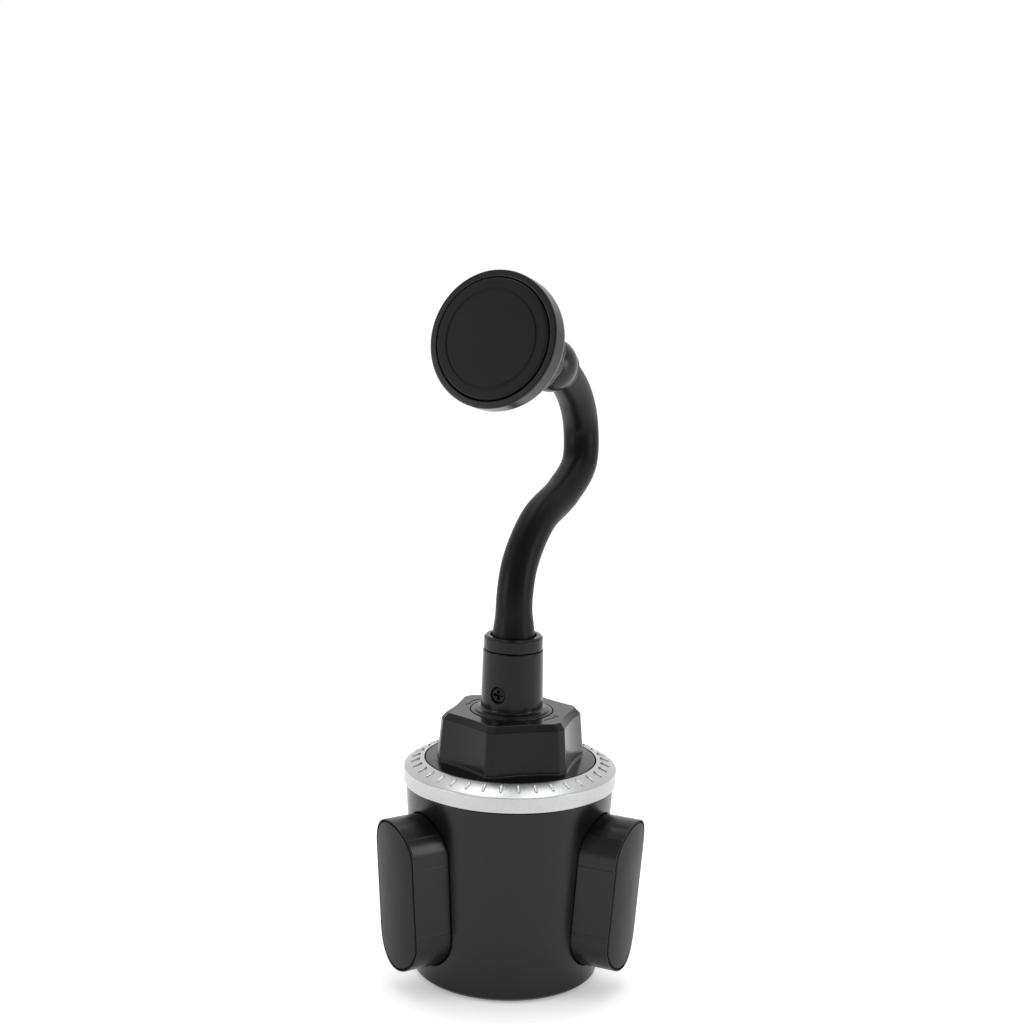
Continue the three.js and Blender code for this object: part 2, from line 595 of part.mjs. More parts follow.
const halfGap = NECK_JOINT_GAP / 2 / neckLength;
const neckEnd = 1 - (KNUCKLE_BACK + NECK_END_GAP - ROUTE_STOP) / neckLength;
const neckCuts = [0, ...NECK_JOINTS, neckEnd];
for (let i = 0; i + 1 < neckCuts.length; i += 1) {
  const from = i === 0 ? 0 : neckCuts[i] + halfGap;
  const to = i + 2 === neckCuts.length ? neckEnd : neckCuts[i + 1] - halfGap;
  const steps = 7;
  const skin = i === 0
    ? ring([
      [NECK_BORE_R, NECK_START_Z], [NECK_ROOT_R, NECK_START_Z], [NECK_ROOT_R - 0.2, CAP_RING_TOP_Z],
      [NECK_R + 0.3, NECK_START_Z + to * neckLength - 4], [NECK_R, NECK_START_Z + to * neckLength],
      [NECK_BORE_R, NECK_START_Z + to * neckLength],
    ], NECK_SIDES)
    : tube(from, to, NECK_R, NECK_BORE_R, NECK_SIDES, steps);
  add(`neck_skin_${i + 1}`, skin, softRubber);
  const core = i === 0
    ? rod(CORE_R, SLEEVE_BORE_Z + 1, NECK_START_Z + to * neckLength, CORE_SIDES)
    : tube(from, to, CORE_R, 0, CORE_SIDES, steps);
  add(`neck_core_${i + 1}`, core, steel);
}

// ---------- head ----------
// Pieces of the head are turned about their own +Z, which is then laid along the head's axis.
// Heights are measured from the knuckle's middle or from the ball's.
const knuckleFrame = new THREE.Group();
knuckleFrame.position.copy(KNUCKLE);
knuckleFrame.quaternion.setFromUnitVectors(new THREE.Vector3(0, 0, 1), HEAD_AXIS);
mount.add(knuckleFrame);
const ballFrame = new THREE.Group();
ballFrame.position.set(0, 0, BALL_AT);
knuckleFrame.add(ballFrame);

function knuckle() {
  const stem = STUD_R;
  const dome = arc(KNUCKLE_R, 130 * DEG, Math.asin(stem / KNUCKLE_R), 8);
  const body = lathe([
    [0, -KNUCKLE_BACK], [6.9, -KNUCKLE_BACK], [7.1, -KNUCKLE_BACK + 0.5], ...dome.slice(1),
    [stem, BALL_AT - 5], [0, BALL_AT - 5],
  ], 18);
  return cut(body, new THREE.SphereGeometry(BALL_R + GAP, 12, 10).translate(0, 0, BALL_AT));
}

function ballSeat() {
  const mouth = Math.PI - MOUTH_ANGLE;
  const front = 48 * DEG;
  return ring([...arc(SEAT_R, front, mouth, 5), ...arc(BALL_R + GAP, mouth, front, 5)], 18);
}

function lockNut() {
  const mouth = Math.PI - MOUTH_ANGLE + 2 * DEG;
  const shoulder = arc(CUP_R, 98 * DEG, mouth, 4);
  const edge = shoulder[shoulder.length - 1];
  const body = ring([
    [NUT_THREAD_R, NUT_FRONT], [NUT_R, NUT_FRONT - 0.6], [NUT_R, NUT_BACK + 2.2], [NUT_R - 1.4, NUT_BACK],
    [edge[0] + 0.7, NUT_BACK], ...shoulder.reverse(), [NUT_THREAD_R, shoulder[shoulder.length - 1][1]],
  ], 24);
  const grooves = Array.from({ length: NUT_RIBS }, (_, i) =>
    rod(GROOVE_R, NUT_BACK - 1, NUT_FRONT + 1, 4)
      .translate(NUT_R + 0.35, 0, 0)
      .rotateZ((i * 2 * Math.PI) / NUT_RIBS));
  return cut(body, ...grooves);
}

function headShell() {
  const cup = arc(CUP_R, 90 * DEG, 46 * DEG, 6);
  const cupEnd = cup[cup.length - 1];
  const body = lathe([
    [0, HEAD_POCKET - 2.6], [cupEnd[0], HEAD_POCKET - 2.6], ...cup.reverse(), [BOSS_R, 0],
    [BOSS_R, HEAD_BACK - 1.6], [BOSS_R + 1.6, HEAD_BACK], [16.5, HEAD_BACK + 0.6], [19.6, HEAD_BACK + 2.2],
    [HEAD_R, HEAD_BACK + 5.2], [HEAD_R, HEAD_RIM - 0.6], [HEAD_R - 0.6, HEAD_RIM], [HEAD_POCKET_R, HEAD_RIM],
    [HEAD_POCKET_R, HEAD_POCKET + 2], [HEAD_POCKET_R - 2, HEAD_POCKET], [0, HEAD_POCKET],
  ], 24);
  return body;
}

const yokeAt = HEAD_POCKET + GAP;
const trayAt = yokeAt + YOKE_THICK + GAP;
const plateAt = trayAt + TRAY_THICK + GAP;
const faceAt = plateAt + PLATE_THICK + GAP;
const faceOut = faceAt + FACE_THICK;
const magnetSpots = Array.from({ length: MAGNET_COUNT }, (_, i) => polar(MAGNET_RING_R, 60 * i + 30));

function magnetTray() {
  const pockets = magnetSpots.map(([x, y]) => rod(MAGNET_R + GAP, 0, 40, 12).translate(x, y, 0));
  return cut(rod(TRAY_R, trayAt, trayAt + TRAY_THICK, 24), ...pockets);
}

add('knuckle', knuckle(), blackPlastic, knuckleFrame);
add('swivel_ball', new THREE.SphereGeometry(BALL_R, 16, 10), blackSteel, ballFrame);
add('ball_seat', ballSeat(), acetal, ballFrame);
add('lock_nut', lockNut(), blackPlastic, ballFrame);
add('head_shell', headShell(), blackPlastic, ballFrame);
add('yoke_plate', rod(YOKE_R, yokeAt, yokeAt + YOKE_THICK, 24), steel, ballFrame);
add('magnet_tray', magnetTray(), blackPlastic, ballFrame);
magnetSpots.forEach(([x, y], i) => {
  const magnet = rod(MAGNET_R, trayAt + 0.2, trayAt + TRAY_THICK - 0.2, 10);
  add(`magnet_${i + 1}`, magnet.translate(x, y, 0), steel, ballFrame);
});
add('face_plate', rod(FACE_R, plateAt, plateAt + PLATE_THICK, 30), blackPlastic, ballFrame);
add('face_pad', rod(FACE_R, faceAt, faceOut, 30), softRubber, ballFrame);

// ---------- pivots, for the record of its joints ----------
mount.userData.neckPivots = NECK_JOINTS.map((share) => ({
  at: neckLine.getPointAt(share).toArray(),
  along: neckLine.getTangentAt(share).toArray(),
}));
mount.userData.ballMiddle = KNUCKLE.clone().addScaledVector(HEAD_AXIS, BALL_AT).toArray();
mount.userData.headAxis = HEAD_AXIS.toArray();
mount.userData.faceMiddle = KNUCKLE.clone().addScaledVector(HEAD_AXIS, BALL_AT + faceOut).toArray();

export default mount;
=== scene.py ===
import json
import math
import bmesh
import bpy
import numpy as np
from mathutils import Euler, Matrix, Vector


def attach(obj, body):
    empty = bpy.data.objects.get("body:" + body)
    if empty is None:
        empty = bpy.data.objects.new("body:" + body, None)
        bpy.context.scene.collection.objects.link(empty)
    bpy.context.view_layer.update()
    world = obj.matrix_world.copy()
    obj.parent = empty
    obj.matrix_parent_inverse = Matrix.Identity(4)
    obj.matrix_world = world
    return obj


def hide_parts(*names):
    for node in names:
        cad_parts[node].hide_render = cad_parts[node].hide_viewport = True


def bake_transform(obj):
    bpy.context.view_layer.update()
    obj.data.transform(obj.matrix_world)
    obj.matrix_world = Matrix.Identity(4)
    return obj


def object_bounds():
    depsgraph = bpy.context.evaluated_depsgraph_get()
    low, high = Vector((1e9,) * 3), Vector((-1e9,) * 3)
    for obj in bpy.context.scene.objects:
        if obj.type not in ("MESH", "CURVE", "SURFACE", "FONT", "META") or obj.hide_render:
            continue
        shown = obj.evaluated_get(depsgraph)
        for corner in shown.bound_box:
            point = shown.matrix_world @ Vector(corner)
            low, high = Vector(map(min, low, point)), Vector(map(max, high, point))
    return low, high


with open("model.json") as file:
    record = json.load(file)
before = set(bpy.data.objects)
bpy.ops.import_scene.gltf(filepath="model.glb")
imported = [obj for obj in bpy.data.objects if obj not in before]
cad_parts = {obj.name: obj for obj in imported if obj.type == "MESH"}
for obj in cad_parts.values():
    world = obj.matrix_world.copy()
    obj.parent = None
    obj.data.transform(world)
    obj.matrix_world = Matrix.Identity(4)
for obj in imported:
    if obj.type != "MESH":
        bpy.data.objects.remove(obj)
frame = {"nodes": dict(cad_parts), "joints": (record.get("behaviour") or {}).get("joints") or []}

# Looks of a cup-holder phone mount. Shapes are worked out in millimetres and stored in metres.
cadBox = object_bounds()
mm = 0.001
turn = 2 * np.pi
joints = {joint["name"]: joint for joint in frame["joints"]}


# ---------- camera ----------
camera = {
    "across": -1.55,       # mm, from the base's axis
    "distance": 625.0,     # mm, in front of the base's axis
    "height": 265.2,       # mm, above the floor
    "down": 10.2,          # degrees below the horizon
    "roll": 1.5,           # degrees
    "lens": 70.3125,       # mm, on a 36 mm wide sensor
}


def placeCamera():
    data = bpy.data.cameras.new("camera")
    data.sensor_width = 36.0
    data.lens = camera["lens"]
    data.clip_start = 0.05
    data.clip_end = 50.0
    body = bpy.data.objects.new("camera", data)
    bpy.context.scene.collection.objects.link(body)
    aim = Euler((math.radians(90 - camera["down"]), 0, 0)).to_matrix()
    body.matrix_world = (aim @ Matrix.Rotation(math.radians(camera["roll"]), 3, "Z")).to_4x4()
    body.location = Vector((camera["across"], -camera["distance"], camera["height"])) * mm
    bpy.context.scene.camera = body


placeCamera()
print("camera placed")


# ---------- surfaces ----------
def gridFaces(rows, columns, rowsJoin=False, columnsJoin=True):
    # the four corners of every cell of a grid, whose last row or column may join the first
    i, j = np.meshgrid(np.arange(rows - (not rowsJoin)), np.arange(columns - (not columnsJoin)), indexing="ij")
    nextI = (i + 1) % rows
    nextJ = (j + 1) % columns
    corners = [i * columns + j, i * columns + nextJ, nextI * columns + nextJ, nextI * columns + j]
    return np.stack(corners, -1).reshape(-1, 4)


def roundedPath(corners, steps=4, closed=False):
    # A path of corners (a, b, radius), where a and b are numbers or one value for each column. Each corner
    # with a radius becomes an arc that touches both of its straight lines, with one more row beside each end
    # so that the flat faces shade flat. Returns rows x columns of (a, b).
    width = max(np.size(value) for corner in corners for value in corner[:2])
    spots = [np.stack([np.broadcast_to(c[0], width), np.broadcast_to(c[1], width)], -1).astype(float)
             for c in corners]
    rows = []
    for k, corner in enumerate(corners):
        spot = spots[k]
        radius = corner[2] if len(corner) > 2 else 0
        inside = closed or 0 < k < len(corners) - 1
        if radius == 0 or not inside:
            rows.append(spot)
            continue
        back = spots[k - 1] - spot
        ahead = spots[(k + 1) % len(corners)] - spot
        backLength = np.linalg.norm(back, axis=1, keepdims=True)
        aheadLength = np.linalg.norm(ahead, axis=1, keepdims=True)
        back, ahead = back / backLength, ahead / aheadLength
        half = np.arccos(np.clip((back * ahead).sum(1, keepdims=True), -1, 1)) / 2
        reach = np.minimum(radius / np.tan(half), 0.48 * np.minimum(backLength, aheadLength))
        middle = back + ahead
        middle = spot + middle / np.linalg.norm(middle, axis=1, keepdims=True) * reach / np.cos(half)
        start, end = spot + back * reach - middle, spot + ahead * reach - middle
        sweep = np.pi - 2 * half
        beside = [np.minimum(0.15, 0.5 * (0.5 * length - reach)) for length in (backLength, aheadLength)]
        rows.append(spot + back * (reach + beside[0]))
        for share in np.linspace(0, 1, steps + 1):
            rows.append(middle + (start * np.sin((1 - share) * sweep) + end * np.sin(share * sweep)) / np.sin(sweep))
        rows.append(spot + ahead * (reach + beside[1]))
    return np.stack(rows)


def turned(corners, sides=192, steps=4, closed=False):
    # Surface of revolution about Z: the rounded profile of (radius, height) goes round once.
    path = roundedPath(corners, steps, closed)
    angle = np.arange(sides) * turn / sides
    r, z = np.broadcast_to(path[..., 0], (len(path), sides)), np.broadcast_to(path[..., 1], (len(path), sides))
    points = np.stack([r * np.cos(angle), r * np.sin(angle), z], -1)
    return points.reshape(-1, 3), gridFaces(len(path), sides, rowsJoin=closed)


def arcCorners(radius, start, end, count, height=0.0):
    # profile corners on an arc about (0, height), at angles in degrees from the +Z axis
    angle = np.radians(np.linspace(start, end, count))
    return list(zip(radius * np.sin(angle), height + radius * np.cos(angle)))


def merged(shells):
    # several (points, faces) as one
    counts = np.cumsum([0] + [len(points) for points, _ in shells])
    return np.concatenate([p for p, _ in shells]), np.concatenate([f + n for (_, f), n in zip(shells, counts)])


def aboutZ(points, degrees):
    a = math.radians(degrees)
    return points @ np.array([[math.cos(a), math.sin(a), 0], [-math.sin(a), math.cos(a), 0], [0, 0, 1]])


def piece(name, shell, material, body, nodes=(), sharp=32.0):
    # A mesh object from points in mm: doubles are merged, which closes seams and poles, faces are turned
    # outwards, and edges above the sharp angle stay hard.
    points, faces = shell
    mesh = bpy.data.meshes.new(name)
    mesh.from_pydata((points * mm).tolist(), [], faces.tolist())
    work = bmesh.new()
    work.from_mesh(mesh)
    bmesh.ops.remove_doubles(work, verts=work.verts, dist=2e-6)
    bmesh.ops.dissolve_degenerate(work, edges=work.edges, dist=1e-7)
    bmesh.ops.recalc_face_normals(work, faces=work.faces)
    work.to_mesh(mesh)
    work.free()
    mesh.polygons.foreach_set("use_smooth", np.ones(len(mesh.polygons), bool))
    mesh.set_sharp_from_angle(angle=math.radians(sharp))
    mesh.materials.append(material)
    thing = bpy.data.objects.new(name, mesh)
    bpy.context.scene.collection.objects.link(thing)
    if body:
        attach(thing, body)
    if nodes:
        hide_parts(*nodes)
    return thing


def carve(thing, cutter, sharp=32.0):
    # takes the cutter's volume out of a piece, and removes the cutter
    tool = piece(thing.name + "_cutter", cutter, thing.data.materials[0], None)
    cut = thing.modifiers.new("cut", "BOOLEAN")
    cut.operation = "DIFFERENCE"
    cut.solver = "EXACT"
    cut.object = tool
    graph = bpy.context.evaluated_depsgraph_get()
    result = bpy.data.meshes.new_from_object(thing.evaluated_get(graph))
    thing.modifiers.remove(cut)
    thing.data = result
    bpy.data.objects.remove(tool)
    result.polygons.foreach_set("use_smooth", np.ones(len(result.polygons), bool))
    result.set_sharp_from_angle(angle=math.radians(sharp))


# ---------- materials ----------
def linear(text):
    # sRGB hex to linear light
    parts = np.array([int(text[k:k + 2], 16) for k in (1, 3, 5)]) / 255
    values = np.where(parts <= 0.04045, parts / 12.92, ((parts + 0.055) / 1.055) ** 2.4)
    return (*values.tolist(), 1.0)


def addNode(tree, kind, inputs=None, **settings):
    # one node with its settings, and its inputs given as values or as the sockets that feed them
    node = tree.nodes.new("ShaderNode" + kind)
    for name, value in settings.items():
        setattr(node, name, value)
    for name, value in (inputs or {}).items():
        if isinstance(value, bpy.types.NodeSocket):
            tree.links.new(value, node.inputs[name])
        else:
            node.inputs[name].default_value = value
    return node


def perMetre(size):
    # noise scale that gives marks of this size in mm on Object coordinates
    return 1000.0 / size


def finish(name, values):
    # One Principled surface: two close tones in soft clouds, a roughness that wanders, and a fine grain
    # with a long shallow unevenness under it as bump.
    material = bpy.data.materials.new(name)
    material.use_nodes = True
    tree = material.node_tree
    tree.nodes.clear()
    place = addNode(tree, "TexCoord").outputs["Object"]
    clouds = addNode(tree, "TexNoise", {"Vector": place, "Scale": perMetre(values["cloud"]), "Detail": 3.0,
                                        "Roughness": 0.55})
    grain = addNode(tree, "TexNoise", {"Vector": place, "Scale": perMetre(values["grain"]), "Detail": 2.0,
                                       "Roughness": 0.5})
    waves = addNode(tree, "TexNoise", {"Vector": place, "Scale": perMetre(values["wave"]), "Detail": 1.0})
    tone = addNode(tree, "ValToRGB", {"Fac": clouds.outputs["Fac"]})
    tone.color_ramp.elements[0].position = 0.32
    tone.color_ramp.elements[0].color = linear(values["dark"])
    tone.color_ramp.elements[1].position = 0.68
    tone.color_ramp.elements[1].color = linear(values["light"])
    rough = addNode(tree, "MapRange", {"Value": clouds.outputs["Fac"], "From Min": 0.3, "From Max": 0.7,
                                       "To Min": values["rough"][0], "To Max": values["rough"][1]})
    shallow = addNode(tree, "Bump", {"Height": waves.outputs["Fac"], "Strength": 1.0,
                                     "Distance": values["waveDepth"] * mm})
    fine = addNode(tree, "Bump", {"Height": grain.outputs["Fac"], "Strength": 1.0,
                                  "Distance": values["grainDepth"] * mm, "Normal": shallow.outputs["Normal"]})
    inputs = {"Base Color": tone.outputs["Color"], "Roughness": rough.outputs["Result"],
              "Normal": fine.outputs["Normal"], "Metallic": values.get("metallic", 0.0)}
    for socket, key in (("IOR", "ior"), ("Specular IOR Level", "specular"), ("Sheen Weight", "sheen"),
                        ("Sheen Roughness", "sheenRough"), ("Emission Strength", "glow")):
        if key in values:
            inputs[socket] = values[key]
    shader = addNode(tree, "BsdfPrincipled", inputs)
    out = addNode(tree, "OutputMaterial")
    tree.links.new(shader.outputs["BSDF"], out.inputs["Surface"])
    return material


# ABS, spark-eroded mould: black and satin, with a grain that only breaks up the edge of a reflection.
# The real grit is about 0.05 mm and is drawn at 0.22 mm so that it can show.
satinAbs = finish("satinMouldedAbs", {
    "dark": "#0c0c0d", "light": "#101011", "cloud": 22.0, "grain": 0.22, "wave": 9.0,
    "grainDepth": 0.004, "waveDepth": 0.02, "rough": (0.23, 0.29), "ior": 1.52, "specular": 0.3})

# ABS, polished mould: the sleeve, its flange and the cap ring are a little glossier.
glossierAbs = finish("semiGlossMouldedAbs", {
    "dark": "#0f0f10", "light": "#131314", "cloud": 18.0, "grain": 0.2, "wave": 7.0,
    "grainDepth": 0.002, "waveDepth": 0.015, "rough": (0.17, 0.22), "ior": 1.52, "specular": 0.205})

# Thermoplastic rubber overmould of the gripping faces: dull, with a faint bloom.
gripRubber = finish("matteGripRubber", {
    "dark": "#0f0f10", "light": "#141415", "cloud": 16.0, "grain": 0.3, "wave": 6.0,
    "grainDepth": 0.012, "waveDepth": 0.02, "rough": (0.42, 0.5), "ior": 1.5,
    "specular": 0.17, "sheen": 0.01, "sheenRough": 0.5})

# Soft-touch sleeve of the gooseneck: extruded silicone, smooth, with a broad soft highlight.
neckRubber = finish("softTouchSilicone", {
    "dark": "#0c0c0d", "light": "#0f0f10", "cloud": 20.0, "grain": 0.25, "wave": 5.0,
    "grainDepth": 0.005, "waveDepth": 0.03, "rough": (0.36, 0.42), "ior": 1.43,
    "specular": 0.16, "sheen": 0.01, "sheenRough": 0.45})

# Pearl chrome on ABS: a fine silver plating over a spark-eroded surface, slightly mottled.
pearlChrome = finish("satinPearlChrome", {
    "dark": "#b3b4b4", "light": "#bbbcbb", "cloud": 0.7, "grain": 0.16, "wave": 3.0,
    "grainDepth": 0.002, "waveDepth": 0.006, "rough": (0.3, 0.34), "metallic": 1.0})

# Natural acetal: milky white, waxy.
acetal = finish("naturalAcetal", {
    "dark": "#cfccc4", "light": "#dedbd3", "cloud": 12.0, "grain": 0.3, "wave": 6.0,
    "grainDepth": 0.006, "waveDepth": 0.02, "rough": (0.38, 0.48), "ior": 1.48})

# Steel, zinc plated: pale blue-grey with a fine crystalline mottling.
zincSteel = finish("zincPlatedSteel", {
    "dark": "#9a9ea3", "light": "#b4b8bb", "cloud": 3.0, "grain": 0.25, "wave": 2.0,
    "grainDepth": 0.006, "waveDepth": 0.01, "rough": (0.24, 0.38), "metallic": 1.0})

# Steel, black oxide and oil: nearly black, with a clear narrow highlight.
blackOxide = finish("blackOxideSteel", {
    "dark": "#1c1d1f", "light": "#28292b", "cloud": 3.0, "grain": 0.25, "wave": 2.0,
    "grainDepth": 0.004, "waveDepth": 0.008, "rough": (0.22, 0.32), "metallic": 1.0})

# Neodymium magnet, nickel plated: bright, faintly warm.
nickelPlate = finish("nickelPlatedMagnet", {
    "dark": "#b3b0a8", "light": "#c6c3ba", "cloud": 3.0, "grain": 0.3, "wave": 2.0,
    "grainDepth": 0.002, "waveDepth": 0.006, "rough": (0.12, 0.2), "metallic": 1.0})
print("materials made")


# ---------- inner pieces keep their own shapes ----------
innerFinishes = {
    "base_floor": satinAbs, "magnet_tray": satinAbs, "face_plate": satinAbs,
    "centre_post": acetal, "scroll_plate": acetal, "ball_seat": acetal,
    "tie_bolt": zincSteel, "yoke_plate": zincSteel, "neck_plug": zincSteel,
}
innerFamilies = {"floor_screw_": zincSteel, "scroll_screw_": zincSteel, "follower_pin_": zincSteel,
                 "neck_core_": zincSteel, "magnet_": nickelPlate}
for name, node in frame["nodes"].items():
    family = next((made for start, made in innerFamilies.items() if name[len(start):].isdigit()
                   and name.startswith(start)), None)
    made = innerFinishes.get(name, family)
    if made:
        node.data.materials.clear()
        node.data.materials.append(made)


# ---------- outlines ----------
def stadiumOutline(halfFlat, radius, count, lines=(), spread=()):
    # For points at even steps along a stadium that stands up: the angle of the outward normal, and the
    # height of the centre that the point is measured from. It starts half way up the right side. More
    # points are spread about lines at given heights, on both sides.
    bend = np.pi * radius
    stops = np.cumsum([0, halfFlat, bend, 2 * halfFlat, bend, halfFlat])
    along = np.arange(count) * stops[-1] / count
    for line in lines:
        up = min(abs(line), halfFlat) + radius * math.asin(max(abs(line) - halfFlat, 0) / radius)
        up = math.copysign(up, line)
        more = np.concatenate([up + np.array(spread), stops[-1] / 2 - up + np.array(spread)])
        along = np.sort(np.concatenate([along, more % stops[-1]]))
    angle = np.interp(along, stops, [0, 0, np.pi, np.pi, turn, turn])
    centre = np.interp(along, stops, [0, halfFlat, halfFlat, -halfFlat, -halfFlat, 0])
    return angle, centre


# ---------- wings ----------
wing = {
    "halfWidth": 11.5, "halfFlat": 13.7, "middle": 32.9,
    "inner": 17.2, "outer": 43.55, "draft": 4.0,
    "rimRound": 0.3, "rim": 0.42, "groove": 2.2,
    "padInset": 0.95, "padRound": 0.35, "padDepth": 1.95,
    "mouldLines": (-21.2, -11.2, 11.2, 21.2), "mouldLine": 0.08, "mouldLineWidth": 0.24,
    "angles": (94.0, 214.0, 334.0),
}


def gripDistance(y, z):
    # how far from the axis the gripping cone is, at a point across and up a wing
    r = wing["outer"] + (z - wing["middle"]) * math.tan(math.radians(wing["draft"]))
    return np.sqrt(r ** 2 - y ** 2)


def wingOutline(count, lines):
    spread = np.linspace(-2.5, 2.5, 11) * wing["mouldLineWidth"]
    return stadiumOutline(wing["halfFlat"], wing["halfWidth"], count, wing["mouldLines"] if lines else (), spread)


def wingSurface(corners, count, lines=False, steps=4):
    # A path of (inset, depth) is carried round the wing's stadium outline: inset shrinks the outline, and
    # depth is measured in from the gripping cone. Faint mould lines stand proud of the sides.
    angle, centre = wingOutline(count, lines)
    path = roundedPath(corners, steps)
    inset, depth = path[..., 0], path[..., 1]
    y = (wing["halfWidth"] - inset) * np.cos(angle)
    z = wing["middle"] + centre + (wing["halfWidth"] - inset) * np.sin(angle)
    x = gripDistance(y, z) - depth
    if lines:
        height = z - wing["middle"]
        ridge = sum(np.exp(-((height - line) / wing["mouldLineWidth"]) ** 2) for line in wing["mouldLines"])
        proud = wing["mouldLine"] * ridge * (inset < 0.05)
        y = y + proud * np.cos(angle)
        z = z + proud * np.sin(angle)
    return np.stack([x, y, z], -1).reshape(-1, 3), gridFaces(*y.shape)


def wingBlock(count=360):
    angle, centre = wingOutline(count, True)
    edge = gripDistance(wing["halfWidth"] * np.cos(angle),
                        wing["middle"] + centre + wing["halfWidth"] * np.sin(angle)) - wing["inner"]
    heart = gripDistance(0, wing["middle"] + centre) - wing["inner"]
    return wingSurface([
        (wing["halfWidth"], heart), (0, edge, 0.6), (0, 0, wing["rimRound"]), (wing["rim"], 0, 0.18),
        (wing["rim"], wing["groove"]), (wing["halfWidth"], wing["groove"])], count, lines=True)


def wingPad(count=360):
    across = np.linspace(1.6, wing["halfWidth"], 16)
    return wingSurface(
        [(wing["halfWidth"], wing["padDepth"]), (wing["padInset"], wing["padDepth"], 0.2),
         (wing["padInset"], 0, wing["padRound"])] + [(inset, 0) for inset in across], count)


for k, heading in enumerate(wing["angles"], 1):
    for kind, (points, faces), made, slot in (("block", wingBlock(), satinAbs, "black_abs"),
                                              ("pad", wingPad(), gripRubber, "soft_rubber")):
        piece(f"wing_{kind}_skin_{k}", (aboutZ(points, heading), faces), made, f"wing_{k}",
              [f"wing_{kind}_{k}"])
print("wings made")


# ---------- base ----------
base = {
    "footR": 29.8, "topR": 33.6, "top": 64.0, "rim": 0.6, "wall": 2.4,
    "deckR": 31.0, "deckTop": 66.6, "deckBore": 12.0,
    "clearance": 0.35, "edgeRound": 0.22,
    "padR": 24.5, "padThick": 1.3, "padRings": (8.0, 13.0, 18.0), "padRing": 0.7,
}


def shellRadius(z):
    return base["footR"] + (base["topR"] - base["footR"]) * z / base["top"]


def insideRadius(z):
    return shellRadius(z) - base["wall"]


def baseShell():
    under = base["deckTop"] - base["wall"]
    return turned([
        (26.9, base["rim"], 0.2), (28.9, base["rim"], 0.3), (shellRadius(1.6), 1.6, 0.5),
        (base["topR"], base["top"], 0.25), (base["deckR"], base["top"], 0.1),
        (base["deckR"], base["deckTop"], 0.2), (base["deckBore"], base["deckTop"], 0.2),
        (base["deckBore"], under), (28.8, under),
        (insideRadius(61.8), 61.8, 1.0), (insideRadius(5.2), 5.2, 0.3)], sides=240, closed=True)


def windowTool(heading, count=200):
    # The window of one wing as a solid: a stadium grown by the clearance, which flares in a quarter round
    # where it comes out through the shell.
    angle, centre = stadiumOutline(wing["halfFlat"], wing["halfWidth"], count)
    flare = base["edgeRound"]
    hole = wing["halfWidth"] + base["clearance"]
    swing = np.linspace(0, np.pi / 2, 6)[:, None]
    reach = np.concatenate([[[0.0], [hole]], hole + flare * (1 - np.cos(swing)), [[hole + flare + 0.02], [0.0]]])
    depth = np.concatenate([flare * (1 - np.sin(swing)), [[-1.5]]])
    y = reach * np.cos(angle)
    z = wing["middle"] + centre + reach * np.sin(angle)
    surface = np.sqrt(shellRadius(z[2:-1]) ** 2 - y[2:-1] ** 2) - depth
    x = np.concatenate([np.full((2, count), 20.0), surface, np.full((1, count), 36.0)])
    return aboutZ(np.stack([x, y, z], -1).reshape(-1, 3), heading), gridFaces(*y.shape)


def footPad():
    rings = []
    for r in base["padRings"]:  # shallow grooves in its underside
        w = base["padRing"]
        rings += [(r - w, 0.0, 0.15), (r - w / 2, 0.35, 0.15), (r + w / 2, 0.35, 0.15), (r + w, 0.0, 0.15)]
    return turned([(0, 0)] + rings + [(base["padR"], 0, 0.4), (base["padR"], base["padThick"], 0.2),
                                      (0, base["padThick"])], sides=160)


shell = piece("base_shell_skin", baseShell(), satinAbs, "base", ["base_shell"])
for heading in wing["angles"]:
    carve(shell, windowTool(heading))
piece("foot_pad_skin", footPad(), gripRubber, "base", ["foot_pad"])
print("base made")


# ---------- graduated ring ----------
ring = {
    "outer": 34.4, "inner": 27.9, "under": 64.3, "shoulder": 69.5, "slope": 22.0, "crown": 0.25, "shoulderWidth": 0.4,
    "ticks": 36, "tickLength": 3.6, "tickWidth": 1.05, "tickProud": 0.35, "tickRise": 0.45, "tickSunk": 0.3,
}


def ringHeight(r):
    # a cone with a slight crown between the knob's skirt and the shoulder
    edge = ring["outer"] - ring["shoulderWidth"]
    share = (edge - r) / (edge - ring["inner"])
    crown = 4 * ring["crown"] * share * (1 - share)
    return ring["shoulder"] + (edge - r) * math.tan(math.radians(ring["slope"])) + crown


def ringTicks():
    # Half-round bars with round ends, laid on the cone along its slope and repeated round the axis.
    radius = ring["tickWidth"] / 2
    angle, centre = stadiumOutline(ring["tickLength"] / 2 - radius, radius, 40)
    rise = np.linspace(0, np.pi / 2, 6)[:, None]
    inset = np.concatenate([[[radius]], [[0.0]], radius * (1 - np.cos(rise))])
    across = (radius - inset) * np.cos(angle)
    along = centre + (radius - inset) * np.sin(angle)
    inner = np.clip(-2 * along / ring["tickLength"], 0, 1) ** 2  # the inner end stands higher
    lift = np.concatenate([[[-ring["tickSunk"]]] * 2, np.sin(rise)])
    lift = np.where(lift > 0, lift * (ring["tickProud"] + ring["tickRise"] * inner), lift)
    lift = lift - ring["crown"] * (along / 3.0) ** 2
    slope = math.radians(ring["slope"])
    middle = (ring["outer"] + ring["inner"]) / 2 - 0.2
    r = middle + along * math.cos(slope) + lift * math.sin(slope)
    z = ringHeight(middle) - along * math.sin(slope) + lift * math.cos(slope)
    bar = np.stack([r, across, z], -1).reshape(-1, 3)
    faces = gridFaces(*along.shape)
    steps = (np.arange(ring["ticks"]) + 0.5) * 360 / ring["ticks"]
    return [(aboutZ(bar, step), faces) for step in steps]


